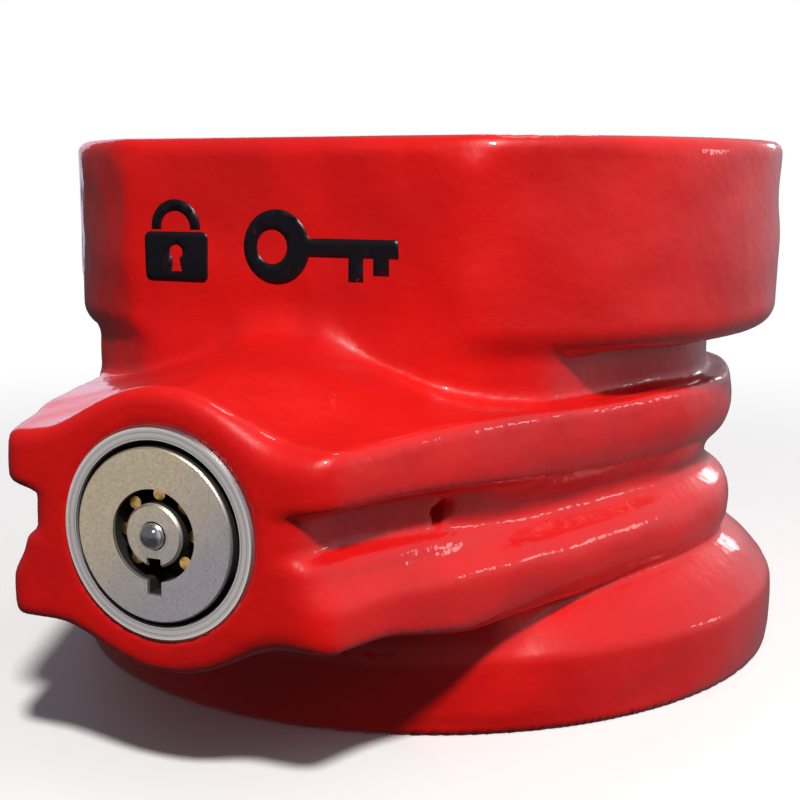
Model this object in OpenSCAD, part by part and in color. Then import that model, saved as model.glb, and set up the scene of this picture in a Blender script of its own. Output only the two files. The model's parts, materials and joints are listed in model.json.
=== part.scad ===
// Trailer coupler lock: a cast horseshoe cup that slides over the lip of a
// trailer coupler, and a keyed cylinder in front that raises a plunger into the
// coupler's ball socket. Millimetres. +Z is up, -Y is the lock's front, and the
// origin is the centre of the base's underside.

/* [Casting] */
// Radius of the base flange
base_r = 51.8; // [51:0.1:53]
// Height of the base flange's straight edge
base_edge_h = 6.5; // [4:0.5:8]
// Radius of the drum between the ribs
drum_r = 41.5; // [40.5:0.1:42]
// How far the two ribs stand out of the drum
rib_out = 3.8; // [3:0.1:4.2]
// Height of the lower rib's underside
rib_low_z = 16.8; // [16.5:0.1:17.5]
// Height of the groove between the ribs
groove_z = 26.6; // [26:0.1:27.5]
// Height of the ledge on top of the upper rib
ledge_z = 39; // [38.5:0.1:40]
// Overall height
body_h = 71; // [70:0.1:73]
// Height of the band's lower edge
band_z = 45.5; // [45:0.1:47]
// Radius of the band
band_r = 50.8; // [50.4:0.1:51.6]
// Distance from the centre to the band's flat front
band_front = 45.3; // [45:0.1:47]

/* [Coupler cup] */
// Height of the cup's floor
cup_floor_z = 52; // [51.5:0.1:53]
// Radius of the channel that takes the coupler's lip
cup_r = 44; // [43:0.2:44.4]
// Height of the underside of the overhanging rim
rim_z = 62; // [61:0.5:63]
// Radius of the opening in the rim
rim_r = 37; // [36:0.5:39]

/* [Lock boss] */
// Distance from the centre to the boss's face
boss_front = 74.7; // [74:0.1:76]
// Radius of the boss round the lock cylinder
boss_r = 15; // [14.6:0.1:15.4]
// Half-width of the neck behind the boss, between the ribs
boss_w = 16.7; // [16:0.1:17.5]
// Height of the lock's axis
lock_z = 29.7; // [29.5:0.1:29.9]

/* [Lock cylinder] */
// Outside radius of the sleeve
sleeve_r = 11.5; // [11.3:0.05:11.6]
// Radius of the sliding barrel
barrel_r = 9.3; // [9.2:0.05:9.4]
// Outside radius of the keyway
keyway_r = 4.95; // [4.9:0.05:5.1]
// Radius of the centre post
post_r = 3.4; // [3.2:0.05:3.5]
// Depth of the keyway's floor behind the boss's face
keyway_d = 3.6; // [3:0.2:4]
// Number of pin places round the post, with none at the key's notch
pin_places = 8; // [7:1:8]
// Radius of a tumbler pin
pin_r = 0.7; // [0.5:0.05:0.75]

/* [Drive] */
// Travel of the barrel and of the plunger
travel = 10; // [8:0.5:10]
// Turn of the key, in degrees
key_angle = 90; // [90:15:90]
// Radius of the plunger's stem
plunger_r = 9; // [8.5:0.1:9.2]
// Height of the top of the raised plunger
plunger_top = 62.5; // [62:0.1:64]
// Radius of the drive rod
rod_r = 6.5; // [6:0.1:6.8]

/* [Hidden] */
$fn = 96;

eps = 0.01;
run_gap = 0.08;            // radial clearance of a moving round part
fixed_gap = 0.02;          // radial clearance of a fitted round part
hull_fn = 32;              // facets of the round shapes inside a hull

rib_r = drum_r + rib_out;
tangent_in = 0.3;          // how far the walls run inside the drum they meet
shoulder_front = 2;        // the shoulder starts this far behind the boss's face
shoulder_w = 26;           // half-width of the shoulder where it meets the band
chamber_r = 15;            // service chamber under the plunger
chamber_top = 37;
cover_r = 23.8;
cover_high = 3.2;          // the cover is flush with the base's underside
cover_screw_pcr = 19.5;    // screws' distance from the centre
cover_screws_n = 3;
screw_r = 1.6;
bore_end = 50;             // depth of the wide bore behind the boss's face
bush_r = 12;
bush_low = 41.5;

sleeve_proud = 0.3;        // sleeve in front of the boss's face
sleeve_end = 46;
barrel_proud = 0.8;
barrel_edge = 0.15;        // the bevel round the barrel's face
barrel_end = 31;
sleeve_bore_r = barrel_r + run_gap;
plug_r = 6.1;              // rotating plug, and the fixed core behind it
plug_end = 14;
core_end = 24;
pin_pcr = (keyway_r + post_r) / 2;
pin_angles = [for (i = [1 : pin_places - 1]) -90 + i * 360 / pin_places];
notch_w = 1.7;
post_notch = 2.4;          // the post's notch starts this far from the lock's axis
pin_front = 0.6;           // the pins' front ends, inside the keyway
ball_r = 1.45;
ball_d = 0.1 - barrel_proud;
tail_r = 2.5;
tail_end = 40;
cam_d = 34;                // the cam pin's depth
cam_r = 1.25;
cross_d = 20.5;            // the retaining pin's depth
cross_r = 1.5;
swivel_d = 38;
swivel_r = 0.75;
swivel_x = 2.35;
rod_front = 36;
rod_collar = [40, 42];
rod_bar = [8, 10];         // width and height of the rod's flat end
rod_end_y = 9.5;
drive_pin_y = travel / 2;
drive_pin_r = 2;
clevis_w = rod_bar[0] + 0.4;
clevis_top = lock_z + rod_bar[1] / 2 + travel + 1;
plunger_low = 25;
nose_r = plunger_r - 0.4;
nose_low = cup_floor_z + 0.5;
nose_high = plunger_top - 3.5;

// ---- helpers ---------------------------------------------------------------

// A cylinder along the lock's axis between two depths behind the boss's face.
module along(r, from, to) {
    translate([0, to - boss_front, lock_z]) rotate([90, 0, 0])
        cylinder(r = r, h = to - from);
}

// Places children on the lock's axis at a depth, their +Z pointing backwards.
module at_depth(d) {
    translate([0, d - boss_front, lock_z]) rotate([-90, 0, 0]) children();
}

// One pin or hole at every pin place, between two depths.
module at_pins(r, from, to) {
    for (a = pin_angles)
        translate([pin_pcr * cos(a), 0, pin_pcr * sin(a)]) along(r, from, to, $fn = 24);
}

// A coil spring standing on z = 0: the wire's centre line is a helix.
module coil(radius, wire, height, turns, steps = 20, sides = 8) {
    rings = turns * steps;
    pitch = (height - 2 * wire) / rings;
    points = [for (i = [0 : rings], j = [0 : sides - 1])
        let (a = i * 360 / steps, b = j * 360 / sides, r = radius + wire * cos(b))
            [r * cos(a), r * sin(a), wire + i * pitch + wire * sin(b)]];
    walls = [for (i = [0 : rings - 1], j = [0 : sides - 1])
        let (k = (j + 1) % sides)
            [i * sides + j, i * sides + k, (i + 1) * sides + k, (i + 1) * sides + j]];
    first = [[for (j = [sides - 1 : -1 : 0]) j]];
    last = [[for (j = [0 : sides - 1]) rings * sides + j]];
    polyhedron(points, concat(walls, first, last), convexity = 8);
}

// Where the line from a corner of the boss touches the drum, of radius r.
function touch(r, corner) =
    let (far = norm(corner), a = atan2(-corner[1], corner[0]) - acos(r / far))
    r * [cos(a), -sin(a)];

// ---- casting ---------------------------------------------------------------

// Flange, shoulder, two ribs and neck, turned round the centre.
module turned_core() {
    rotate_extrude() polygon([
        [0, 0], [base_r - 1.5, 0], [base_r, 1.5], [base_r, base_edge_h],
        [base_r - 1.1, base_edge_h + 4.4], [base_r - 3.6, base_edge_h + 7],
        [rib_r - 0.8, rib_low_z - 0.8], [rib_r, rib_low_z + 1.8],
        [rib_r, groove_z - 5], [rib_r - 0.9, groove_z - 2.9],
        [drum_r, groove_z - 1.4], [drum_r, groove_z + 1.4],
        [rib_r - 1.4, groove_z + 4.5], [rib_r, groove_z + 7.4],
        [rib_r, ledge_z - 1], [rib_r - 1, ledge_z], [drum_r, ledge_z + 0.4],
        [drum_r, band_z + 2], [0, band_z + 2]
    ]);
}

// A slab with the plan of the drum and the two walls that run forward to the boss.
module wall_slab(out, from, to, front = boss_front) {
    corner = [boss_w + out, -boss_front];
    back = touch(drum_r + out - tangent_in, corner);
    t = (boss_front - front) / (boss_front + back[1]);
    side = corner + t * (back - corner);
    translate([0, 0, from]) linear_extrude(to - from)
        polygon([[-side[0], -front], [side[0], -front], back, [-back[0], back[1]]]);
}

// The ribs and the web between them, out to the boss.
module walls() {
    wall_slab(0, rib_low_z + 1, ledge_z - 1);
    wall_slab(rib_out, rib_low_z, groove_z - 3.4, boss_front - 0.6);
    wall_slab(rib_out, groove_z + 5.4, ledge_z, boss_front - 0.6);
    wall_slab(0, ledge_z - 2, band_z + 2, band_front + 1.5);
}

// The round boss that holds the lock cylinder.
module boss() {
    along(boss_r, 0, boss_front - band_front + 4);
}

// The slope from the top of the boss back to the band.
module shoulder() {
    hull() {
        along(boss_r - 0.6, shoulder_front, shoulder_front + 1, $fn = hull_fn);
        translate([-shoulder_w, -band_front - 1.4, ledge_z - 6]) cube([2 * shoulder_w, 4, 6.4]);
        translate([-shoulder_w / 2, -band_front - 1.4, ledge_z]) cube([shoulder_w, 4, 6.2]);
    }
}

// The band at the top: round, with a flat front.
module band() {
    difference() {
        rotate_extrude() polygon([
            [0, band_z], [band_r - 3, band_z], [band_r, band_z + 3],
            [band_r, body_h - 1.5], [band_r - 1.5, body_h], [0, body_h]
        ]);
        translate([-band_r, -band_front - band_r, band_z - 1])
            cube([2 * band_r, band_r, body_h]);
    }
}

// The space the coupler's lip slides into, open at the back.
module cup_space() {
    translate([0, 0, cup_floor_z]) cylinder(r = cup_r, h = rim_z - cup_floor_z);
    translate([-cup_r, 0, cup_floor_z]) cube([2 * cup_r, band_r + 1, rim_z - cup_floor_z]);
    translate([0, 0, rim_z - eps]) cylinder(r = rim_r, h = body_h - rim_z + 1);
    translate([-rim_r, 0, rim_z - eps]) cube([2 * rim_r, band_r + 1, body_h - rim_z + 1]);
}

// Everything bored out of the casting.
module casting_bores() {
    cup_space();
    along(sleeve_r + fixed_gap, -5, bore_end);
    along(rod_r + run_gap, bore_end - 1, boss_front);
    translate([0, 0, cover_high - 1]) cylinder(r = chamber_r, h = chamber_top - cover_high + 1);
    translate([0, 0, -1]) cylinder(r = cover_r + 0.2, h = cover_high + 1);
    translate([0, 0, chamber_top - 1]) cylinder(r = plunger_r + 0.3, h = bush_low - chamber_top + 2);
    translate([0, 0, bush_low]) cylinder(r = bush_r + fixed_gap, h = cup_floor_z - bush_low + 1);
    translate([0, cross_d - boss_front, lock_z]) rotate([0, 90, 0])
        cylinder(r = cross_r + fixed_gap, h = 2 * boss_front, $fn = 32);
    at_cover_screws() translate([0, 0, cover_high - 1]) cylinder(r = screw_r + fixed_gap, h = 9, $fn = 32);
}

module at_cover_screws() {
    for (i = [0 : cover_screws_n - 1])
        rotate(90 + i * 360 / cover_screws_n) translate([cover_screw_pcr, 0, 0]) children();
}

module body_casting() {
    color("firebrick") difference() {
        union() {
            turned_core();
            walls();
            boss();
            shoulder();
            band();
        }
        casting_bores();
    }
}

// ---- base ------------------------------------------------------------------

module base_cover() {
    color("dimgray") difference() {
        cylinder(r = cover_r, h = cover_high);
        at_cover_screws() {
            translate([0, 0, -1]) cylinder(r = screw_r + 0.2, h = cover_high + 2, $fn = 32);
            translate([0, 0, -eps])
                cylinder(r1 = 2 * screw_r, r2 = screw_r + 0.2, h = screw_r - 0.2, $fn = 32);
        }
    }
}

// Countersunk screws with a hexagon socket.
module cover_screws() {
    color("silver") at_cover_screws() difference() {
        union() {
            cylinder(r1 = 2 * screw_r - 0.2, r2 = screw_r, h = 1.4, $fn = 32);
            translate([0, 0, 1]) cylinder(r = screw_r, h = 9, $fn = 32);
        }
        translate([0, 0, -1]) cylinder(r = 1.1, h = 2.2, $fn = 6);
    }
}

// ---- lock cylinder ---------------------------------------------------------

// The pressed-in sleeve, with a helical slot on each side for the cam pin.
module lock_sleeve() {
    steps = 18;
    color("silver") difference() {
        union() {
            along(sleeve_r, 0, sleeve_end);
            at_depth(-sleeve_proud) cylinder(r1 = sleeve_r - 0.2, r2 = sleeve_r, h = sleeve_proud + eps);
        }
        along(sleeve_bore_r, -2, sleeve_end + 1);
        at_depth(-sleeve_proud - eps) cylinder(r1 = barrel_r + 0.7, r2 = barrel_r + 0.05, h = 1.6);
        for (i = [0 : steps])
            translate([0, cam_d - travel * i / steps - boss_front, lock_z])
                rotate([0, key_angle * i / steps, 0])
                    cylinder(r = cam_r + 0.2, h = 3 * sleeve_r, center = true, $fn = 32);
        translate([0, cross_d - boss_front, lock_z]) rotate([0, 90, 0])
            cylinder(r = cross_r + fixed_gap, h = 2 * sleeve_r, $fn = 32);
    }
}

// Roll pin: holds the sleeve in the casting and keeps the barrel from turning.
module retaining_pin() {
    color("gray") translate([barrel_r - 0.7, cross_d - boss_front, lock_z]) rotate([0, 90, 0])
        difference() {
            cylinder(r = cross_r, h = 10, $fn = 32);
            translate([0, 0, -1]) cylinder(r = cross_r - 0.5, h = 12, $fn = 32);
        }
}

module lock_barrel() {
    color("gainsboro") difference() {
        union() {
            along(barrel_r, barrel_edge - barrel_proud, barrel_end);
            at_depth(-barrel_proud)
                cylinder(r1 = barrel_r - barrel_edge, r2 = barrel_r, h = barrel_edge + eps);
        }
        along(keyway_r, -barrel_proud - 1, keyway_d + 1);
        along(plug_r + run_gap, keyway_d, barrel_end + 1);
        // the key's notch, at the lowest point of the keyway
        translate([-notch_w / 2, -barrel_proud - boss_front - 1, lock_z - keyway_r - 1.4])
            cube([notch_w, 4, 3]);
        // groove of the seal, and the long slot that the retaining pin rides in
        at_depth(2.4) rotate_extrude() translate([8.2, 0]) square([2, 1.3]);
        translate([barrel_r - 1, cross_d - boss_front - cross_r - 0.15, lock_z - cross_r - 0.15])
            cube([3, travel + 2 * cross_r + 0.3, 2 * cross_r + 0.3]);
    }
}

module barrel_seal() {
    color("black") at_depth(3.05) rotate_extrude() translate([8.79, 0]) circle(0.55, $fn = 24);
}

// The fixed core behind the plug, bored for the driver pins.
module pin_core() {
    color("darkgoldenrod") difference() {
        along(plug_r + 0.06, plug_end + 0.1, core_end);
        along(tail_r + run_gap, plug_end - 1, core_end + 1);
        at_pins(pin_r + 0.06, plug_end - 1, core_end + 1);
    }
}

module driver_pins() {
    color("silver") at_pins(pin_r, plug_end + 0.15, plug_end + 3);
}

module driver_springs() {
    color("gray")
        for (a = pin_angles)
            translate([pin_pcr * cos(a), 0, pin_pcr * sin(a)]) at_depth(plug_end + 3.05)
                coil(pin_r - 0.2, 0.15, core_end - plug_end - 3.1, 4, steps = 7, sides = 4);
}

// Ring that closes the back of the barrel.
module barrel_end_ring() {
    color("slategray") difference() {
        along(plug_r + 0.06, core_end + 0.02, barrel_end - 0.5);
        along(tail_r + run_gap, core_end - 1, barrel_end + 1);
        for (x = [-4.3, 4.3])
            translate([x, 0, 0]) along(0.8, barrel_end - 2.5, barrel_end + 1, $fn = 24);
    }
}

// ---- key spindle -----------------------------------------------------------

// Centre post, plug and tail in one piece: the part that the key turns.
module key_spindle() {
    color("gainsboro") difference() {
        union() {
            at_depth(-barrel_proud) cylinder(r1 = post_r - 0.25, r2 = post_r, h = 0.26);
            along(post_r, 0.25 - barrel_proud, keyway_d + 1);
            along(plug_r, keyway_d + 0.05, plug_end);
            along(tail_r, plug_end - eps, tail_end);
        }
        at_pins(pin_r + 0.06, keyway_d, plug_end + 1);
        // ball seat, notch for the key, cam pin's hole and the swivel groove
        at_depth(ball_d) sphere(ball_r + 0.1, $fn = 48);
        translate([-notch_w / 2, -boss_front - 2, lock_z - post_r - 1])
            cube([notch_w, 3.5, post_r + 1 - post_notch]);
        translate([0, cam_d - boss_front, lock_z])
            cylinder(r = cam_r + fixed_gap, h = 20, center = true, $fn = 32);
        at_depth(swivel_d - 0.9) rotate_extrude() translate([1.5, 0]) square([2, 1.8]);
    }
}

module anti_drill_ball() {
    color("white") at_depth(ball_d) sphere(ball_r, $fn = 48);
}

// Rides in the sleeve's helical slots.
module cam_pin() {
    color("gray") translate([0, cam_d - boss_front, lock_z])
        cylinder(r = cam_r, h = 2 * sleeve_r - 0.8, center = true, $fn = 32);
}

module key_pins() {
    color("goldenrod") at_pins(pin_r, pin_front, plug_end - 2.1);
}

// ---- drive -----------------------------------------------------------------

// Carries the barrel's motion back to the plunger. It swivels on the tail.
module drive_rod() {
    color("silver") difference() {
        union() {
            along(rod_r, rod_front, boss_front - plunger_r - 2);
            along(8.8, rod_collar[0], rod_collar[1]);
            translate([-rod_bar[0] / 2, -plunger_r - 3, lock_z - rod_bar[1] / 2])
                cube([rod_bar[0], rod_end_y + plunger_r + 3, rod_bar[1]]);
        }
        along(tail_r + run_gap, rod_front - 1, tail_end + 0.3);
        translate([swivel_x, swivel_d - boss_front, lock_z])
            cylinder(r = swivel_r + fixed_gap, h = 20, center = true, $fn = 32);
        translate([0, drive_pin_y, lock_z]) rotate([0, 90, 0])
            cylinder(r = drive_pin_r + fixed_gap, h = 20, center = true, $fn = 48);
    }
}

// Lies across the tail's groove, so the rod can't pull off.
module swivel_pin() {
    color("gray") translate([swivel_x, swivel_d - boss_front, lock_z])
        cylinder(r = swivel_r, h = 11, center = true, $fn = 32);
}

module drive_pin() {
    color("gray") translate([0, drive_pin_y, lock_z]) rotate([0, 90, 0])
        cylinder(r = drive_pin_r, h = 2 * plunger_r - 5, center = true, $fn = 48);
}

module barrel_spring() {
    color("gray") at_depth(rod_collar[1] + 0.05)
        coil(7.7, 0.7, bore_end - rod_collar[1] - 0.1, 4);
}

// The inclined slot in both tines: the drive pin moves it down as the rod comes forward.
module plunger_slot() {
    rotate([0, 90, 0]) {
        for (t = [0, travel])
            translate([-t, drive_pin_y - t, 0])
                cylinder(r = drive_pin_r + 0.15, h = 3 * plunger_r, center = true, $fn = 48);
        translate([-travel / 2, drive_pin_y - travel / 2, 0]) rotate(45)
            cube([travel * sqrt(2), 2 * drive_pin_r + 0.24, 3 * plunger_r], center = true);
    }
}

module plunger() {
    dome_r = nose_r * 1.35;
    color("silver") difference() {
        union() {
            translate([0, 0, plunger_low]) cylinder(r = plunger_r, h = nose_low - plunger_low);
            translate([0, 0, nose_low - eps]) cylinder(r = nose_r, h = nose_high - nose_low + eps);
            intersection() {
                translate([0, 0, nose_high - eps]) cylinder(r = nose_r - eps, h = plunger_top - nose_high + 1);
                translate([0, 0, plunger_top - dome_r]) sphere(dome_r);
            }
        }
        translate([-clevis_w / 2, -2 * plunger_r, plunger_low - 1])
            cube([clevis_w, 4 * plunger_r, clevis_top - plunger_low + 1]);
        translate([0, 0, lock_z]) plunger_slot();
    }
}

module plunger_bush() {
    color("darkgray") difference() {
        translate([0, 0, bush_low]) cylinder(r = bush_r, h = cup_floor_z - bush_low);
        translate([0, 0, bush_low - 1]) cylinder(r = plunger_r + run_gap, h = cup_floor_z);
    }
}

module plunger_spring() {
    color("gray") translate([0, 0, cover_high + 0.02])
        coil(7, 0.8, plunger_low - cover_high - 0.04, 5);
}

// ---- assembly --------------------------------------------------------------

body_casting();
base_cover();
cover_screws();
lock_sleeve();
retaining_pin();
lock_barrel();
barrel_seal();
pin_core();
driver_pins();
driver_springs();
barrel_end_ring();
drive_rod();
swivel_pin();
drive_pin();
key_spindle();
anti_drill_ball();
cam_pin();
key_pins();
barrel_spring();
plunger();
plunger_bush();
plunger_spring();
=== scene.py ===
"""Trailer coupler lock: the looks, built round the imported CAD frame.

Shapes are worked out in millimetres, from the CAD nodes' boxes and the sizes named
here, and written to the meshes in metres. +Z is up and -Y is the lock's front, as
in the frame.
"""
import json
import math

import bpy
import numpy as np
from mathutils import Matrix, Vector
from mathutils.geometry import delaunay_2d_cdt


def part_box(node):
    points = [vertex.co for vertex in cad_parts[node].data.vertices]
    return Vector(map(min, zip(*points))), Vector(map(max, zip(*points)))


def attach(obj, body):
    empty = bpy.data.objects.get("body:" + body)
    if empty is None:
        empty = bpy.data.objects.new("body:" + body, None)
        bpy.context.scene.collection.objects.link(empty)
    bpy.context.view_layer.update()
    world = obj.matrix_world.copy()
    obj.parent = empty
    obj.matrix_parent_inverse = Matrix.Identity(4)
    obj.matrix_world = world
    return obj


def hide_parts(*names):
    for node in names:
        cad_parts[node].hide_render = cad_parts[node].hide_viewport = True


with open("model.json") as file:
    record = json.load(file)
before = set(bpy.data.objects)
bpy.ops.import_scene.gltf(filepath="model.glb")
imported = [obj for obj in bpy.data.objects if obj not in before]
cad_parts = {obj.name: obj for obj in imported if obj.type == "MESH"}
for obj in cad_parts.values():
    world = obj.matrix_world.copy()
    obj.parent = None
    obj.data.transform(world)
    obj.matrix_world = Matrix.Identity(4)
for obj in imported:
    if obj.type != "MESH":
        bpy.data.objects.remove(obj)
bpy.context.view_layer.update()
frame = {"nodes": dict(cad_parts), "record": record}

MM = 0.001
SEED = 7


# ---- sizes, in millimetres --------------------------------------------------

def box_mm(node):
    """A CAD node's lowest and highest corners in millimetres."""
    low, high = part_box(node)
    return np.array(low) / MM, np.array(high) / MM


BODY_LOW, BODY_HIGH = box_mm("body_casting")
SLEEVE_LOW, SLEEVE_HIGH = box_mm("lock_sleeve")
BARREL_LOW, BARREL_HIGH = box_mm("lock_barrel")
BUSH_LOW, BUSH_HIGH = box_mm("plunger_bush")
PIN_LOW, PIN_HIGH = box_mm("retaining_pin")
COVER_HIGH = box_mm("base_cover")[1]
ROD_HIGH = box_mm("drive_rod")[1]

# The outside
BASE_R = BODY_HIGH[0]                          # the base flange is the widest part
BASE_TOP = 18.0                                # the flange ends inside the drum here
BODY_H = BODY_HIGH[2]
FACE_Y = BODY_LOW[1]                           # the boss's face
DRUM_R = 41.5
WALL_X = 13.4                                  # the walls' rounded corners beside the boss
CORNER_R = 2.5
BOSS_R = 15.1
BOSS_DROP = 0.3                                # the boss is a little deeper below the lock
BOSS_END = -37.3                               # it runs back to here
LEDGE_Z = 39.0                                 # the ledge on the upper rib
UNDERSIDE_Z = 18.3                             # the wall's underside by the boss
UNDERSIDE_FALL = 3.0                           # how much lower it is at the drum
FILL_LOW, FILL_HIGH = 3.0, 19.0                # the fill under the boss
NECK_LOW, NECK_HIGH = 30.0, 52.0
NECK_OUT = 3.7                                 # the neck stands out of the drum on the left
NECK_LESS = 2.4                                # and this much less on the right
NECK_INSET = 1.3                               # the neck stays this far inside the band
BAND_R = BASE_R - 1.0
BAND_Z = 45.5                                  # the band's lower edge
BAND_EDGE_LOW, BAND_EDGE_HIGH = 3.4, 1.5       # how far its two edges are rounded
BAND_FRONT = 45.3                              # its flat front
# Where the boss's shape turns into the drum's, along y
RIBS_CHANGE = (-68, -28)
UNDERSIDE_CHANGE = (-68, -48)
NECK_CHANGE = (-38, -22)

# The inside
LOCK_Z = (SLEEVE_LOW[2] + SLEEVE_HIGH[2]) / 2
SLEEVE_R = (SLEEVE_HIGH[2] - SLEEVE_LOW[2]) / 2
BARREL_R = (BARREL_HIGH[2] - BARREL_LOW[2]) / 2
LOCK_DEPTH = 50.0
ROD_HOLE_R = (ROD_HIGH[2] - LOCK_Z) * 0.75     # the box is the collar's, wider than the shank
PIN_Y = (PIN_LOW[1] + PIN_HIGH[1]) / 2
PIN_R = (PIN_HIGH[2] - PIN_LOW[2]) / 2
BUSH_R = BUSH_HIGH[0]
NOSE_HOLE_R = 9.3                              # the plunger's way up to its bush
CHAMBER_R = 15.0
CHAMBER_TOP = 37.0
FLOOR_Z = BUSH_HIGH[2]                         # the cup's floor
CUP_R = 44.0
RIM_Z = FLOOR_Z + 10.0
RIM_R = 37.0
COVER_GAP = 0.2
SLEEVE_BITE, BUSH_BITE = 0.3, 0.2              # the casting overlaps what is pressed into it
LAP = 1.0                                      # hollows that meet overlap by this
PAST = 5.0                                     # open hollows run past the outside by this

CELL = 0.75                                    # grid step of the casting's mesh


# ---- the casting as a distance field ----------------------------------------
# A field is a signed distance in millimetres, negative inside the shape.

# In plan each wall runs from its rounded corner along a tangent to the drum.
CORNER = np.array([WALL_X, -FACE_Y - CORNER_R])
HULL_R = DRUM_R - CORNER_R
TOUCH = math.atan2(CORNER[0], CORNER[1]) + math.acos(HULL_R / np.hypot(*CORNER))
WALL_NORMAL = np.array([math.sin(TOUCH), -math.cos(TOUCH)])
WALL_LENGTH = math.sqrt(np.hypot(*CORNER) ** 2 - HULL_R ** 2)

# How far the wall stands out of the drum at each height: two ribs with a groove
# between them. The groove is taller by the boss than it is round the drum.
RIBS_AT_BOSS = np.array([
    (10, 3.0), (16.0, 3.3), (18.0, 3.7), (21.6, 3.8), (23.2, 3.7), (24.2, 3.2), (25.6, 2.4),
    (27.0, 2.0), (27.6, 1.7), (28.3, 0.4), (28.8, 0.0), (32.4, 0.0), (32.9, 1.2), (33.3, 3.2),
    (34.0, 3.9), (36, 3.9), (38.6, 3.7), (39.6, 3.5), (48, 3.4)
])
RIBS_AT_DRUM = np.array([
    (10, 1.6), (15.6, 2.2), (16.8, 3.1), (17.9, 3.7), (20.4, 4.0), (22.4, 3.7),
    (23.8, 2.9), (24.8, 0.9), (25.8, 0.1), (27.4, 0.0), (28.4, 0.5), (29.6, 1.2),
    (30.6, 2.3), (32.0, 3.0), (34.0, 3.6), (36.0, 3.7), (38.4, 3.5), (48, 3.2)
])
# Heights that belong together on the two profiles
BOSS_STEPS = (10, 18.0, 23.2, 28.4, 33.0, 36, 39, 48)
DRUM_STEPS = (10, 16.8, 22.4, 25.2, 30.4, 34, 38.4, 48)
# Radius of the base flange at each height: straight edge and sloping shoulder.
BASE_PROFILE = np.array([
    (-4, -0.6), (0, -0.3), (2.5, -0.1), (6, 0.0), (8.8, 0.0), (9.6, -0.15), (10.2, -0.6),
    (11, -1.3), (12.3, -2.5), (13.6, -4.0), (14.8, -5.9), (16, -8.4), (20, -17.0)
])


def smooth_table(points, blur=0.55, step=0.05):
    """A profile as evenly spaced samples with its corners rounded off."""
    z = np.arange(points[0, 0], points[-1, 0], step)
    values = np.interp(z, points[:, 0], points[:, 1])
    reach = int(3 * blur / step)
    kernel = np.exp(-0.5 * (np.arange(-reach, reach + 1) * step / blur) ** 2)
    padded = np.pad(values, reach, mode="edge")
    return z, np.convolve(padded, kernel / kernel.sum(), mode="valid")


BOSS_TABLE = smooth_table(RIBS_AT_BOSS, 0.25)
DRUM_TABLE = smooth_table(RIBS_AT_DRUM)
BASE_TABLE = smooth_table(BASE_PROFILE, 0.3)


def join(a, b, k):
    """Union with a fillet of about k millimetres."""
    h = np.maximum(k - np.abs(a - b), 0) / k
    return np.minimum(a, b) - h * h * k / 4


def cut(a, b, k):
    """a without b, with the edge rounded over about k millimetres."""
    return -join(-a, b, k)


def meet(a, b, k):
    """The part inside both a and b, with a rounded edge."""
    return -join(-a, -b, k)


def blend_step(value, low, high):
    """0 up to low, 1 from high on, and smooth between them."""
    t = np.clip((value - low) / (high - low), 0, 1)
    return t * t * (3 - 2 * t)


def wall_plan(x, y):
    """Distance in plan to the drum and the walls that run forward to the boss."""
    ax, rho = np.abs(x), np.hypot(x, y)
    from_corner = (ax - CORNER[0], y + CORNER[1])
    side = from_corner[0] * WALL_NORMAL[0] + from_corner[1] * WALL_NORMAL[1]
    along = -from_corner[0] * WALL_NORMAL[1] + from_corner[1] * WALL_NORMAL[0]
    front = -from_corner[1]
    flat = np.maximum(side, front)
    corner = np.hypot(*from_corner)
    near = np.where((along < 0) & (ax > CORNER[0]) & (front > 0), corner, flat)
    near = np.where((along < 0) & (ax > CORNER[0]) & (front <= 0), side, near)
    near = np.where((along < 0) & (ax > CORNER[0]) & (side > 0), corner, near)
    return np.where(along > WALL_LENGTH, rho - HULL_R, near) - CORNER_R


def hump(x, height, half_width):
    return height * np.exp(-(x / half_width) ** 2)


def shoulder_top(x, y):
    """Height of the slope that runs from the top of the boss back to the band."""
    back = blend_step(y, FACE_Y, -BAND_FRONT - 2)
    front_hump = hump(x, 5.2, 10.5)
    back_hump = hump(x, 7.2, 20.0)
    return LEDGE_Z + front_hump + (back_hump - front_hump) * back


def cylinder_z(x, y, z, r, low, high):
    """A cylinder on the plunger's axis."""
    return np.maximum(np.hypot(x, y) - r, np.maximum(low - z, z - high))


def cylinder_y(x, y, z, r, low, high):
    """A cylinder on the lock's axis."""
    return np.maximum(np.hypot(x, z - LOCK_Z) - r, np.maximum(low - y, y - high))


def slot_z(x, y, z, r, low, high):
    """A cylinder that runs out through the back as an open slot."""
    plan = np.where(y > 0, np.abs(x) - r, np.hypot(x, y) - r)
    return np.maximum(plan, np.maximum(low - z, z - high))


def band_field(x, y, z):
    """The band as a full round disc, with its edges rounded."""
    middle, half = (BAND_Z + BODY_H) / 2, (BODY_H - BAND_Z) / 2
    r = np.where(z < middle, BAND_EDGE_LOW, BAND_EDGE_HIGH)
    qx = np.hypot(x, y) - BAND_R + r
    qz = np.abs(z - middle) - half + r
    corner = np.hypot(np.maximum(qx, 0), np.maximum(qz, 0))
    return corner + np.minimum(np.maximum(qx, qz), 0) - r


def boss_and_walls(x, y, z, plan):
    """The ribbed walls, cut off by the shoulder's slope and underneath, and the boss."""
    to_drum = blend_step(y, *RIBS_CHANGE)
    height = z + (np.interp(z, DRUM_STEPS, BOSS_STEPS) - z) * to_drum
    ribs = np.interp(height, *BOSS_TABLE) * (1 - to_drum) + np.interp(z, *DRUM_TABLE) * to_drum
    wall = meet(plan - ribs, z - shoulder_top(x, y), 1.2)
    underside = UNDERSIDE_Z - UNDERSIDE_FALL * blend_step(y, *UNDERSIDE_CHANGE)
    wall = meet(wall, underside - z, 1.4)
    boss = np.hypot(x, z - LOCK_Z + BOSS_DROP) - BOSS_R
    boss = np.maximum(boss, y - BOSS_END)
    return join(wall, boss, 3.0)


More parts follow.
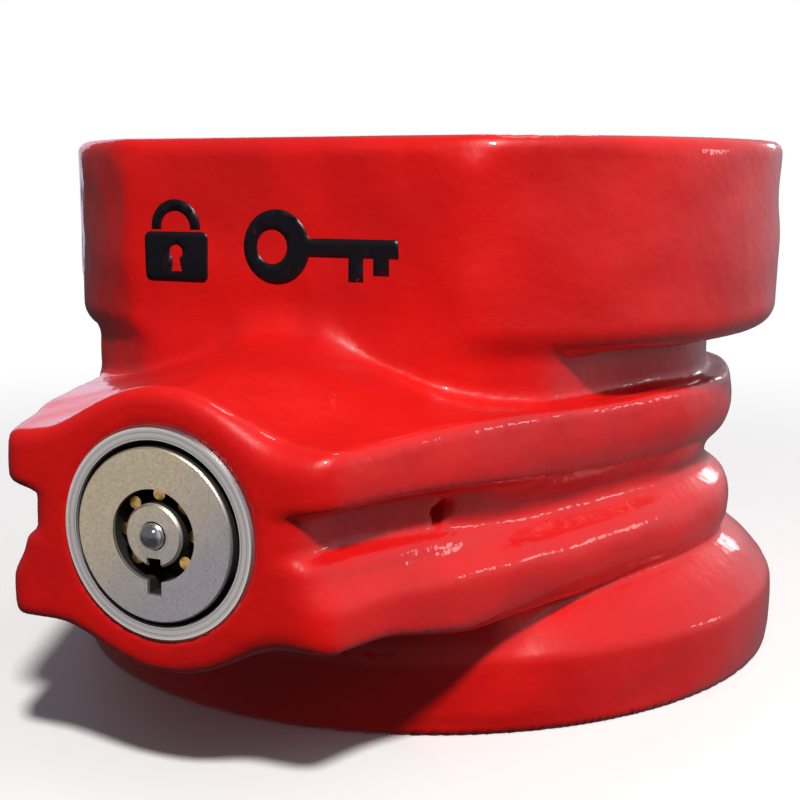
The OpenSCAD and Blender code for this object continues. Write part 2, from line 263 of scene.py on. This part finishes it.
def base_flange(x, y, z, plan):
    """The base flange, and the fill under the boss."""
    rho = np.hypot(x, y)
    base = meet(rho - BASE_R - np.interp(z, *BASE_TABLE), -z, 0.6)
    base = np.maximum(base, z - BASE_TOP)
    fill = meet(plan - 0.2, rho - BASE_R + 0.6, 1.5)
    fill = np.maximum(fill, np.maximum(z - FILL_HIGH, FILL_LOW - z))
    return join(base, fill, 1.2)


def neck_and_band(x, y, z, plan):
    """The neck and the band, with one flat front."""
    neck_out = NECK_OUT - NECK_LESS * blend_step(x, -20, 20)
    neck_out = neck_out * (1 - blend_step(y, *NECK_CHANGE))
    neck = meet(plan - neck_out, np.hypot(x, y) - BAND_R + NECK_INSET, 1.0)
    neck = np.maximum(neck, np.maximum(NECK_LOW - z, z - NECK_HIGH))
    # the flat's edge is sharp, but round at the rim
    edge = 0.7 + 1.8 * blend_step(z, BODY_H - 4, BODY_H - 1)
    return meet(join(neck, band_field(x, y, z), 1.2), -y - BAND_FRONT, edge)


def casting_outside(x, y, z):
    plan = wall_plan(x, y)
    # the fillet under the band is wide behind the hump and narrow beside it
    fillet = 5.5 - 4.2 * blend_step(np.abs(x), 4, 13)
    shape = join(neck_and_band(x, y, z, plan), boss_and_walls(x, y, z, plan), fillet)
    shape = join(shape, base_flange(x, y, z, plan), 1.6)
    # the boss's face is well rounded on the right, and sharper on the left
    rounding = 1.6 + 1.6 * blend_step(x, 4, 14)
    return meet(shape, FACE_Y - y, rounding)


def casting_hollows(x, y, z, shape):
    """The shape without its cup, lock bore, inner chamber and cross hole."""
    rim = slot_z(x, y, z, RIM_R, RIM_Z - LAP, BODY_H + PAST)
    channel = slot_z(x, y, z, CUP_R, FLOOR_Z, RIM_Z)
    shape = cut(shape, join(rim, channel, 0.8), 1.4)
    bore_end = FACE_Y + LOCK_DEPTH
    lock = cylinder_y(x, y, z, SLEEVE_R - SLEEVE_BITE, FACE_Y - PAST, bore_end)
    shape = cut(shape, lock, 0.2)
    shape = cut(shape, cylinder_y(x, y, z, ROD_HOLE_R, bore_end - LAP, 0), 0.5)
    cover_z = COVER_HIGH[2]
    shape = cut(shape, cylinder_z(x, y, z, CHAMBER_R, cover_z - LAP, CHAMBER_TOP), 0.8)
    shape = cut(shape, cylinder_z(x, y, z, COVER_HIGH[0] + COVER_GAP, -2 * LAP, cover_z), 0.5)
    nose = cylinder_z(x, y, z, NOSE_HOLE_R, CHAMBER_TOP - LAP, BUSH_LOW[2] + LAP)
    shape = cut(shape, nose, 0.5)
    shape = cut(shape, cylinder_z(x, y, z, BUSH_R - BUSH_BITE, BUSH_LOW[2], FLOOR_Z + 2 * LAP), 0.2)
    # cross hole of the retaining pin, open on the right-hand side only
    hole = np.hypot(y - PIN_Y, z - LOCK_Z) - PIN_R
    return cut(shape, np.maximum(hole, -x), 0.5)


# Wavelength and height of the unevenness, in millimetres
RIPPLES = ((23, 0.11), (13, 0.07), (8, 0.045), (5, 0.02))
WAVES_EACH = 5


def ripple(x, y, z):
    """Slow unevenness of a thickly painted sand casting."""
    rng = np.random.default_rng(SEED)
    total = np.zeros_like(x)
    for wavelength, height in RIPPLES:
        for _ in range(WAVES_EACH):
            wave = rng.normal(size=3)
            wave *= 2 * math.pi / (wavelength * np.linalg.norm(wave))
            phase = rng.uniform(0, 2 * math.pi)
            total += height / 2 * np.sin(x * wave[0] + y * wave[1] + z * wave[2] + phase)
    return total


def casting_field(x, y, z):
    shape = casting_hollows(x, y, z, casting_outside(x, y, z))
    # the boss's face, the inside and the underside stay true
    uneven = blend_step(y - FACE_Y, 0.5, 4) * blend_step(z, 0.3, 3)
    uneven = uneven * blend_step(BODY_H - z, 0.2, 2) * blend_step(np.hypot(x, y), 38, 41)
    from_lock = np.hypot(x, z - LOCK_Z) - SLEEVE_R
    uneven = uneven * blend_step(from_lock, 1, 3)
    return shape + ripple(x, y, z) * uneven


SLAB = 16                                      # grid layers worked out at a time


def surface_net(low, high, step, field):
    """A quad mesh of field = 0, pulled onto the exact surface."""
    axes = [np.arange(a - step, b + 2 * step, step) for a, b in zip(low, high)]
    grid = np.meshgrid(*axes, indexing="ij")
    value = np.empty(grid[0].shape)
    for i in range(0, len(axes[0]), SLAB):
        value[i:i + SLAB] = field(*(g[i:i + SLAB] for g in grid))
    shape = np.array(value.shape)
    total = np.zeros((*(shape - 1), 3))
    count = np.zeros(shape - 1)
    crossings = []
    for axis in range(3):
        first = [slice(None)] * 3
        second = [slice(None)] * 3
        first[axis], second[axis] = slice(0, -1), slice(1, None)
        a, b = value[tuple(first)], value[tuple(second)]
        index = np.argwhere((a < 0) != (b < 0))
        va, vb = a[tuple(index.T)], b[tuple(index.T)]
        point = index.astype(float)
        point[:, axis] += va / (va - vb)
        u, v = [k for k in range(3) if k != axis]
        ring = []
        for du, dv in ((0, 0), (1, 0), (1, 1), (0, 1)):
            cell = index.copy()
            cell[:, u] -= du
            cell[:, v] -= dv
            np.add.at(total, tuple(cell.T), point)
            np.add.at(count, tuple(cell.T), 1)
            ring.append(cell)
        crossings.append((ring, (va < 0) != (axis == 1)))
    used = count > 0
    number = np.cumsum(used.ravel()).reshape(used.shape) - 1
    points = (total[used] / count[used][:, None]) * step + np.array([a[0] for a in axes])
    faces = []
    for ring, flip in crossings:
        quad = np.stack([number[tuple(cell.T)] for cell in ring], 1)
        faces.append(np.where(flip[:, None], quad, quad[:, ::-1]))
    return pull(points, field, step), np.concatenate(faces)


def slope(points, field, reach=0.05):
    """The field's gradient at each point, by central differences."""
    result = np.empty_like(points)
    for axis in range(3):
        shift = np.zeros(3)
        shift[axis] = reach
        result[:, axis] = (field(*(points + shift).T) - field(*(points - shift).T)) / (2 * reach)
    return result


def pull(points, field, limit, rounds=3, target=0.0):
    """Moves points along the slope until the field there equals target."""
    flattest = 0.2
    for _ in range(rounds):
        gradient = slope(points, field)
        square = np.maximum((gradient ** 2).sum(1), flattest)
        push = -(field(*points.T) - target)[:, None] * gradient / square[:, None]
        size = np.linalg.norm(push, axis=1, keepdims=True)
        points = points + push * np.minimum(1, 0.5 * limit / np.maximum(size, 1e-9))
    return points


# ---- mesh helpers -----------------------------------------------------------

def make_object(name, points_mm, faces, smooth=True):
    mesh = bpy.data.meshes.new(name)
    mesh.from_pydata((np.asarray(points_mm) * MM).tolist(), [], [list(map(int, f)) for f in faces])
    mesh.validate()
    mesh.update()
    piece = bpy.data.objects.new(name, mesh)
    bpy.context.scene.collection.objects.link(piece)
    if smooth:
        mesh.shade_smooth()
    return piece


def place(piece, body, slot, node=None):
    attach(piece, body)
    if node:
        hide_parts(node)


def build_casting():
    points, faces = surface_net(BODY_LOW, BODY_HIGH, CELL, casting_field)
    return make_object("red_casting", points, faces)


# ---- printed mark -----------------------------------------------------------
# A generic pictogram, a padlock and a key, printed on the band's flat front. Its
# shapes are closed outlines in millimetres on that plane; holes follow the shape.

MARK_X, MARK_Z = -2.8, 57.9                    # middle of the mark
PADLOCK_X, BOW_X = -12.8, 1.4                  # padlock and key's bow, from that middle
BOW_R = 4.5
SHAFT = 1.1                                    # half the thickness of the key's shaft
INK_TOP, INK_BOTTOM = 0.05, -0.10              # the film's faces, measured from the paint


def arc(cx, cz, r, start, end, steps=20):
    """Points on an arc, with its angles in degrees."""
    angles = np.radians(np.linspace(start, end, steps))
    return [(cx + r * math.cos(a), cz + r * math.sin(a)) for a in angles]


def rounded_box(x0, z0, x1, z1, r):
    return (arc(x1 - r, z1 - r, r, 0, 90, 6) + arc(x0 + r, z1 - r, r, 90, 180, 6)
            + arc(x0 + r, z0 + r, r, 180, 270, 6) + arc(x1 - r, z0 + r, r, 270, 360, 6))


def key_bit(start, end, depth):
    """A tooth under the key's shaft."""
    return [(start, -SHAFT), (start, -depth), (end, -depth), (end, -SHAFT)]


def mark_outlines():
    """Each entry is an outline and the holes inside it."""
    x = PADLOCK_X
    padlock = rounded_box(x - 4.6, -4.6, x + 4.6, 1.6, 0.9)
    keyhole = arc(x, -0.9, 0.95, -60, 240, 14) + [(x - 0.75, -3.3), (x + 0.75, -3.3)]
    shackle = ([(x - 3.5, 1.9), (x - 2.1, 1.9)] + arc(x, 2.1, 2.1, 180, 0)
               + [(x + 2.1, 1.9), (x + 3.5, 1.9)] + arc(x, 2.1, 3.5, 0, 180))
    turn = math.degrees(math.asin(SHAFT / BOW_R))
    key = (arc(BOW_X, 0, BOW_R, turn, 360 - turn, 40) + key_bit(11.0, 12.9, 3.9)
           + key_bit(14.2, 16.2, 3.1) + [(17.4, -SHAFT), (17.4, SHAFT)])
    eye = arc(BOW_X - 0.6, 0, 2.1, 0, 342, 20)
    return [(padlock, [keyhole]), (shackle, []), (key, [eye])]


def inside_outline(x, z, outline):
    """Whether each point lies inside a closed outline, by counting crossings."""
    result = np.zeros(len(x), bool)
    for (x0, z0), (x1, z1) in zip(outline, outline[1:] + outline[:1]):
        if z0 != z1:
            crossed = ((z0 > z) != (z1 > z)) & (x < x0 + (z - z0) * (x1 - x0) / (z1 - z0))
            result ^= crossed
    return result


def divided(loop, step):
    """A closed outline with points added so that none are much over a step apart."""
    result = []
    for (x0, z0), (x1, z1) in zip(loop, loop[1:] + loop[:1]):
        pieces = max(1, int(math.hypot(x1 - x0, z1 - z0) / step))
        for i in range(pieces):
            result.append((x0 + (x1 - x0) * i / pieces, z0 + (z1 - z0) * i / pieces))
    return result


def solid_part(x, z, outline, holes):
    """Whether each point lies inside an outline and outside its holes."""
    result = inside_outline(x, z, outline)
    for hole in holes:
        result &= ~inside_outline(x, z, hole)
    return result


def flat_patch(outline, holes, step=0.8):
    """Triangles that fill an outline round its holes, with a grid of points inside."""
    points, edges = [], []
    for loop in [outline] + holes:
        dense = divided(loop, step)
        first = len(points)
        points += dense
        edges += [(first + i, first + (i + 1) % len(dense)) for i in range(len(dense))]
    rim = np.array(points)
    across, up = (np.arange(rim[:, k].min(), rim[:, k].max(), step) for k in (0, 1))
    grid = np.stack(np.meshgrid(across, up), -1).reshape(-1, 2)
    kept = solid_part(*grid.T, outline, holes)
    far = np.array([np.min(np.hypot(*(rim - g).T)) > 0.4 * step for g in grid], bool)
    everything = points + [tuple(g) for g in grid[kept & far]]
    solved = delaunay_2d_cdt([Vector(p) for p in everything], edges, [], 0, 1e-5)
    flat = np.array([tuple(v) for v in solved[0]])
    faces = np.array([tuple(f) for f in solved[2]])
    middle = flat[faces].mean(1)
    return flat, faces[solid_part(*middle.T, outline, holes)]


def build_mark():
    """The mark as a closed film of ink, lying on the painted casting."""
    points, faces, first = [], [], 0
    for outline, holes in mark_outlines():
        flat, triangles = flat_patch(outline, holes)
        count = len(flat)
        front = np.full(count, -BAND_FRONT)
        spot = np.column_stack([flat[:, 0] + MARK_X, front, flat[:, 1] + MARK_Z])
        for height in (INK_TOP, INK_BOTTOM):
            points.append(pull(spot, casting_field, 2, 4, height))
        sides = [side for a, b, c in triangles for side in ((a, b), (b, c), (c, a))]
        inner = set(sides)
        rim = [(a, b) for a, b in sides if (b, a) not in inner]
        top, under = first, first + count
        faces += [[top + a, top + b, top + c] for a, b, c in triangles]
        faces += [[under + c, under + b, under + a] for a, b, c in triangles]
        faces += [[top + b, top + a, under + a, under + b] for a, b in rim]
        first += 2 * count
    return make_object("print_mark", np.concatenate(points), faces)


# ---- materials --------------------------------------------------------------

# A Mix node repeats its sockets for each data type; these are the colour ones.
MIX_A, MIX_B, MIX_RESULT = 6, 7, 2


class Graph:
    """One material's nodes, with short calls to add and link them."""

    def __init__(self, name):
        self.material = bpy.data.materials.new(name)
        self.material.use_nodes = True
        self.tree = self.material.node_tree
        self.surface = self.tree.nodes["Principled BSDF"]
        self.point = self.add("TexCoord").outputs["Object"]

    def add(self, kind, inputs=(), **settings):
        node = self.tree.nodes.new("ShaderNode" + kind)
        for key, value in settings.items():
            setattr(node, key, value)
        for key, value in dict(inputs).items():
            self.join(node.inputs[key], value)
        return node

    def join(self, socket, value):
        if isinstance(value, bpy.types.NodeSocket):
            self.tree.links.new(value, socket)
        else:
            socket.default_value = value

    def set(self, **inputs):
        for key, value in inputs.items():
            self.join(self.surface.inputs[key.replace("_", " ")], value)

    def math(self, operation, *values):
        inputs = {i: v for i, v in enumerate(values)}
        return self.add("Math", inputs, operation=operation).outputs[0]

    def noise(self, size_mm, detail=2.0, vector=None, rough=0.5):
        """Noise from 0 to 1 whose features are about size_mm across."""
        inputs = {"Vector": vector or self.point, "Scale": 1 / (size_mm * MM),
                  "Detail": detail, "Roughness": rough}
        return self.add("TexNoise", inputs).outputs["Fac"]

    def spread(self, value, low, high, to_low=0.0, to_high=1.0):
        """Maps low..high to to_low..to_high with soft ends."""
        inputs = {"Value": value, "From Min": low, "From Max": high,
                  "To Min": to_low, "To Max": to_high}
        return self.add("MapRange", inputs, interpolation_type="SMOOTHSTEP").outputs["Result"]

    def mix(self, factor, a, b):
        node = self.add("Mix", {"Factor": factor}, data_type="RGBA")
        self.join(node.inputs[MIX_A], a)
        self.join(node.inputs[MIX_B], b)
        return node.outputs[MIX_RESULT]

    def bump(self, height, depth_mm, strength=1.0, normal=None):
        inputs = {"Height": height, "Distance": depth_mm * MM, "Strength": strength}
        if normal:
            inputs["Normal"] = normal
        return self.add("Bump", inputs).outputs["Normal"]

    def depth(self, near_mm, far_mm):
        """0 at the first depth behind the barrel's face and 1 at the second."""
        y = self.add("SeparateXYZ", {"Vector": self.point}).outputs["Y"]
        low, high = sorted((near_mm, far_mm))
        ends = (0, 1) if near_mm < far_mm else (1, 0)
        return self.spread(y, (BARREL_LOW[1] + low) * MM, (BARREL_LOW[1] + high) * MM, *ends)

    def lock_radius(self):
        """Distance from the lock's axis, in metres."""
        place = self.add("SeparateXYZ", {"Vector": self.point}).outputs
        x = place["X"]
        z = self.math("SUBTRACT", place["Z"], LOCK_Z * MM)
        square = self.math("ADD", self.math("MULTIPLY", x, x), self.math("MULTIPLY", z, z))
        return self.math("SQRT", square)


def colour(r, g, b):
    return (r, g, b, 1.0)


def paint_material():
    """Thick gloss powder coat: orange peel, slightly deeper colour in patches."""
    g = Graph("red_paint")
    blotch = g.spread(g.noise(16, 3), 0.35, 0.7)
    base = g.mix(blotch, colour(0.74, 0.005, 0.003), colour(0.62, 0.004, 0.004))
    peel = g.noise(1.5, 2)
    wave = g.noise(5.0, 2)
    normal = g.bump(wave, 0.25, 0.6)
    normal = g.bump(peel, 0.10, 0.6, normal)
    g.set(Base_Color=base, Roughness=0.42, Specular_IOR_Level=0.3, Normal=normal)
    g.set(Coat_Weight=0.7, Coat_Roughness=0.07, Coat_IOR=1.45, Coat_Normal=normal)
    return g.material


def turned_material():
    """Nickel-plated steel with the fine rings of a lathe round the lock's axis."""
    g = Graph("turned_steel")
    radius = g.lock_radius()
    ring = g.add("CombineXYZ", {"X": radius}).outputs[0]
    lines = g.noise(0.16, 3, ring, 0.7)
    broad = g.noise(0.42, 2, ring)
    speckle = g.noise(0.3, 3)
    tone = g.math("MULTIPLY", g.math("ADD", lines, broad), 0.5)
    base = g.mix(g.spread(tone, 0.40, 0.60), colour(0.34, 0.33, 0.36), colour(0.88, 0.86, 0.84))
    base = g.mix(g.spread(speckle, 0.60, 0.75, 0, 0.5), base, colour(0.33, 0.27, 0.18))
    normal = g.bump(lines, 0.05, 0.7)
    normal = g.bump(broad, 0.06, 0.5, normal)
    # painted shade: the sleeve is coloured black and dull in the gap round the barrel
    gap = g.spread(radius, (BARREL_R + 0.55) * MM, (BARREL_R + 0.7) * MM, 1, 0)
    base = g.mix(gap, base, colour(0.012, 0.011, 0.010))
    sheen = g.spread(broad, 0.3, 0.7, 0.26, 0.40)
    roughness = g.math("ADD", sheen, g.math("MULTIPLY", gap, 0.3))
    bare = g.math("SUBTRACT", 1.0, gap)
    g.set(Base_Color=base, Metallic=bare, Roughness=roughness, Normal=normal)
    return g.material


def steel_material(name, dull, bright, warm, rough):
    """Ground or plated steel with a cloudy patina, fine pits and a faint grain."""
    g = Graph(name)
    cloud = g.noise(5.5, 4)
    fine = g.noise(0.35, 4, rough=0.65)
    pits = g.spread(g.noise(0.22, 2), 0.68, 0.76)
    base = g.mix(g.spread(cloud, 0.38, 0.62), dull, bright)
    base = g.mix(g.spread(g.noise(8, 3), 0.48, 0.66, 0, 0.6), base, warm)
    base = g.mix(g.math("MULTIPLY", pits, 0.6), base, colour(0.12, 0.10, 0.08))
    normal = g.bump(fine, 0.012, 0.5)
    normal = g.bump(pits, -0.02, 0.6, normal)
    roughness = g.math("ADD", g.spread(fine, 0.3, 0.7, -0.06, 0.08), rough)
    g.set(Base_Color=base, Metallic=1.0, Roughness=roughness, Normal=normal)
    return g.material


KEYWAY_SHADE_R = 6.6                                   # the keyway's notch, painted black as shade, reaches out this far


def lock_face_material():
    """The ground face of barrel and post, with a painted reflection: straw-coloured above and to
    the left, bluish below.

    It is painted black, as shade, inside the keyway and in the gap round the barrel.
    """
    g = Graph("lock_face")
    place = g.add("SeparateXYZ", {"Vector": g.point}).outputs
    # painted reflection: the face is tinted straw-coloured towards the top left and bluish towards
    # the bottom
    upward = g.math("SUBTRACT", place["Z"], g.math("MULTIPLY", place["X"], 0.7))
    upward = g.math("ADD", upward, g.math("MULTIPLY", g.noise(4, 4), 9 * MM))
    painted_reflection = g.spread(upward, (LOCK_Z - 4) * MM, (LOCK_Z + 12) * MM)
    fine = g.noise(0.30, 4, rough=0.7)
    pits = g.spread(g.noise(0.2, 2), 0.66, 0.74)
    base = g.mix(painted_reflection, colour(0.50, 0.48, 0.55), colour(0.78, 0.68, 0.50))
    base = g.mix(g.spread(fine, 0.35, 0.65, 0, 0.35), base, colour(0.42, 0.38, 0.34))
    base = g.mix(g.math("MULTIPLY", pits, 0.5), base, colour(0.10, 0.08, 0.06))
    # painted shade: the keyway's notch and the gap round the barrel are coloured black and made
    # dull, as shade
    radius = g.lock_radius()
    keyway = g.spread(radius, KEYWAY_SHADE_R * MM, (KEYWAY_SHADE_R + 0.3) * MM, 1, 0)
    keyway = g.math("MULTIPLY", keyway, g.depth(0.1, 0.5))
    gap = g.spread(radius, (BARREL_R - 0.25) * MM, (BARREL_R - 0.1) * MM)
    gap = g.math("MULTIPLY", gap, g.math("MULTIPLY", g.depth(0.15, 0.45), g.depth(4, 1.5)))
    painted_shade = g.math("MAXIMUM", keyway, gap)
    base = g.mix(painted_shade, base, colour(0.012, 0.010, 0.008))
    normal = g.bump(fine, 0.015, 0.6)
    normal = g.bump(pits, -0.02, 0.6, normal)
    sheen = g.spread(fine, 0.3, 0.7, 0.42, 0.54)
    roughness = g.math("ADD", sheen, g.math("MULTIPLY", painted_shade, 0.3))
    bare = g.math("SUBTRACT", 1.0, painted_shade)
    g.set(Base_Color=base, Metallic=bare, Roughness=roughness, Normal=normal)
    return g.material


def chrome_material():
    g = Graph("chrome")
    smear = g.spread(g.noise(0.8, 3), 0.4, 0.7, 0.03, 0.09)
    g.set(Base_Color=colour(0.86, 0.86, 0.88), Metallic=1.0, Roughness=smear)
    return g.material


def brass_material():
    g = Graph("brass")
    stain = g.noise(0.7, 3)
    base = g.mix(g.spread(stain, 0.4, 0.7), colour(0.74, 0.47, 0.16), colour(0.38, 0.22, 0.08))
    g.set(Base_Color=base, Metallic=1.0, Roughness=g.spread(stain, 0.3, 0.7, 0.18, 0.36),
          Normal=g.bump(g.noise(0.2, 2), 0.01, 0.4))
    return g.material


def spring_material():
    g = Graph("spring_steel")
    drawn = g.noise(0.5, 3)
    base = g.mix(drawn, colour(0.10, 0.10, 0.11), colour(0.30, 0.30, 0.32))
    g.set(Base_Color=base, Metallic=1.0, Roughness=g.spread(drawn, 0.3, 0.7, 0.25, 0.4),
          Normal=g.bump(drawn, 0.01, 0.5))
    return g.material


def rubber_material():
    g = Graph("black_rubber")
    grain = g.noise(0.25, 3)
    base = g.mix(grain, colour(0.008, 0.008, 0.008), colour(0.02, 0.019, 0.018))
    g.set(Base_Color=base, Roughness=g.spread(grain, 0.3, 0.7, 0.5, 0.7),
          Normal=g.bump(grain, 0.02, 0.5))
    return g.material


def ink_material():
    """Black printing ink, a little thin and rubbed in places."""
    g = Graph("black_ink")
    worn = g.spread(g.noise(3.0, 5, rough=0.7), 0.60, 0.72)
    thin = g.math("MULTIPLY", worn, 0.25)
    base = g.mix(thin, colour(0.006, 0.006, 0.009), colour(0.30, 0.01, 0.01))
    normal = g.bump(g.noise(5.0, 2), 0.25, 0.6)
    roughness = g.spread(worn, 0, 1, 0.32, 0.5)
    g.set(Base_Color=base, Roughness=roughness, Specular_IOR_Level=0.35, Normal=normal)
    return g.material


FINISHES = {
    "black_ink": ink_material(),
    "red_paint": paint_material(),
    "turned_steel": turned_material(),
    "hard_steel": steel_material("hard_steel", colour(0.40, 0.38, 0.35), colour(0.56, 0.55, 0.54),
                                 colour(0.50, 0.44, 0.31), 0.36),
    "lock_face": lock_face_material(),
    "chrome": chrome_material(),
    "brass": brass_material(),
    "zinc": steel_material("zinc", colour(0.46, 0.46, 0.46), colour(0.62, 0.63, 0.64),
                           colour(0.55, 0.54, 0.46), 0.3),
    "spring_steel": spring_material(),
    "black_rubber": rubber_material(),
}


def dress(piece, finish):
    piece.data.materials.clear()
    piece.data.materials.append(FINISHES[finish])


def dress_frame():
    """Gives every CAD node its slot's finish, and the lock's face one of its own."""
    for part in frame["record"]["subparts"]:
        dress(frame["nodes"][part["node"]], part["material_slot"])
    for node in ("lock_barrel", "key_spindle"):
        dress(frame["nodes"][node], "lock_face")


# ---- build ------------------------------------------------------------------

dress_frame()
casting = build_casting()
dress(casting, "red_paint")
place(casting, "casting", "red_paint", "body_casting")
mark = build_mark()
dress(mark, "black_ink")
place(mark, "casting", "black_rubber")         # the record has no slot for ink


# ---- studio -----------------------------------------------------------------
# Directions are an azimuth, with 0 in front of the lock and 90 at its right, and
# an elevation above the floor, both in degrees.

AIM_MM = (0, -20, 36)


def direction(azimuth, elevation):
    a, e = math.radians(azimuth), math.radians(elevation)
    return Vector((math.sin(a) * math.cos(e), -math.cos(a) * math.cos(e), math.sin(e)))


def add_light(name, azimuth, elevation, distance_mm, size_mm, irradiance, tint):
    """A round soft light that gives the object this irradiance, in W/m2."""
    lamp = bpy.data.lights.new(name, "AREA")
    lamp.shape = "DISK"
    lamp.size = size_mm * MM
    lamp.energy = irradiance * math.pi * (distance_mm * MM) ** 2
    lamp.color = tint
    item = bpy.data.objects.new(name, lamp)
    bpy.context.scene.collection.objects.link(item)
    away = direction(azimuth, elevation)
    item.location = (Vector(AIM_MM) + away * distance_mm) * MM
    item.rotation_mode = "QUATERNION"
    item.rotation_quaternion = (-away).to_track_quat("-Z", "Y")
    return item


def add_floor():
    """A pale floor that fades into the white room; it throws no light back up."""
    half = 3000
    gap = 0.03                                 # keeps it clear of the base's underside
    corners = [(-half, -half, -gap), (half, -half, -gap), (half, half, -gap), (-half, half, -gap)]
    floor = make_object("floor", corners, [(0, 1, 2, 3)], smooth=False)
    g = Graph("pale_floor")
    g.set(Base_Color=colour(0.95, 0.95, 0.95), Roughness=0.9, Specular_IOR_Level=0.0)
    distance = g.add("VectorMath", {0: g.point}, operation="LENGTH").outputs["Value"]
    white = g.add("Emission", {"Color": colour(1, 1, 1), "Strength": 1.0})
    mix = g.add("MixShader", {0: g.spread(distance, 0.06, 0.30), 1: g.surface.outputs[0],
                              2: white.outputs[0]})
    output = next(n for n in g.tree.nodes if n.type == "OUTPUT_MATERIAL")
    g.tree.links.new(mix.outputs[0], output.inputs["Surface"])
    floor.data.materials.append(g.material)
    floor.visible_diffuse = False
    floor.visible_glossy = False


def add_world():
    """White to the camera. To the surfaces a dim room, lighter behind on the right."""
    world = bpy.data.worlds.new("studio")
    bpy.context.scene.world = world
    world.use_nodes = True
    tree = world.node_tree
    tree.nodes.clear()

    def node(kind, **settings):
        made = tree.nodes.new("ShaderNode" + kind)
        for key, value in settings.items():
            setattr(made, key, value)
        return made

    def ramp(value, low, high, to_low, to_high):
        made = node("MapRange", interpolation_type="SMOOTHSTEP")
        tree.links.new(value, made.inputs["Value"])
        limits = {"From Min": low, "From Max": high, "To Min": to_low, "To Max": to_high}
        for key, number in limits.items():
            made.inputs[key].default_value = number
        return made.outputs["Result"]

    def facing(vector):
        made = node("VectorMath", operation="DOT_PRODUCT")
        tree.links.new(point, made.inputs[0])
        made.inputs[1].default_value = vector
        return made.outputs["Value"]

    point = node("TexCoord").outputs["Generated"]
    window = ramp(facing(direction(128, 8)), 0.1, 0.95, 0.13, 0.62)
    sky = ramp(facing((0, 0, 1)), -0.25, 0.15, 0.4, 1.0)
    strength = node("Math", operation="MULTIPLY")
    tree.links.new(window, strength.inputs[0])
    tree.links.new(sky, strength.inputs[1])
    room = node("Background")
    room.inputs["Color"].default_value = colour(0.92, 0.9, 1.0)
    tree.links.new(strength.outputs[0], room.inputs["Strength"])
    seen = node("Background")
    seen.inputs["Color"].default_value = colour(1, 1, 1)
    mix = node("MixShader")
    tree.links.new(node("LightPath").outputs["Is Camera Ray"], mix.inputs[0])
    tree.links.new(room.outputs[0], mix.inputs[1])
    tree.links.new(seen.outputs[0], mix.inputs[2])
    tree.links.new(mix.outputs[0], node("OutputWorld").inputs["Surface"])


# Name, azimuth, elevation, distance and size in millimetres, irradiance and tint
LIGHTS = (
    ("key", 33, 48, 800, 80, 3.35, (1.0, 0.98, 0.95)),
    ("card_left", -32, -6, 700, 700, 0.45, (1.0, 0.95, 0.9)),
    ("card_low", -5, -40, 700, 700, 0.3, (1.0, 0.95, 0.9)),
    ("rim_right", 120, 12, 900, 110, 0.08, (1.0, 1.0, 1.0)),
    ("rim_back", 167, 13, 900, 130, 0.10, (1.0, 1.0, 1.0)),
    ("rim_shoulder", -166, 29, 900, 130, 0.10, (1.0, 1.0, 1.0)),
    ("rim_top", 172, 66, 900, 130, 0.12, (1.0, 1.0, 1.0)),
    ("left_window", -139, 12, 900, 500, 0.25, (0.85, 0.8, 1.0)),
)
# Pale cards in front of the lock, that light only the bare metal
CARDS = ("card_left", "card_low")
UNLIT_SLOTS = ("red_paint", "black_rubber", "chrome")


def add_lights():
    metals = bpy.data.collections.new("metals")
    for part in frame["record"]["subparts"]:
        if part["material_slot"] not in UNLIT_SLOTS:
            metals.objects.link(frame["nodes"][part["node"]])
    for name, *settings in LIGHTS:
        light = add_light(name, *settings)
        if name in CARDS:
            light.light_linking.receiver_collection = metals


# The camera stands in front and to the right of the lock, looking slightly down.
CAMERA_MM = (76.5, -189.1, 66.46)
CAMERA_TURN = 23.225
CAMERA_TILT = 9.503
CAMERA_LENS = 60.52


def add_camera():
    camera = bpy.data.cameras.new("camera")
    camera.sensor_width = 36
    camera.lens = CAMERA_LENS
    camera.clip_start = 0.01
    camera.clip_end = 20
    item = bpy.data.objects.new("camera", camera)
    bpy.context.scene.collection.objects.link(item)
    item.location = Vector(CAMERA_MM) * MM
    item.rotation_euler = (math.radians(90 - CAMERA_TILT), 0, math.radians(CAMERA_TURN))
    bpy.context.scene.camera = item


add_floor()
add_world()
add_lights()
add_camera()
bpy.context.scene.view_settings.view_transform = "Standard"
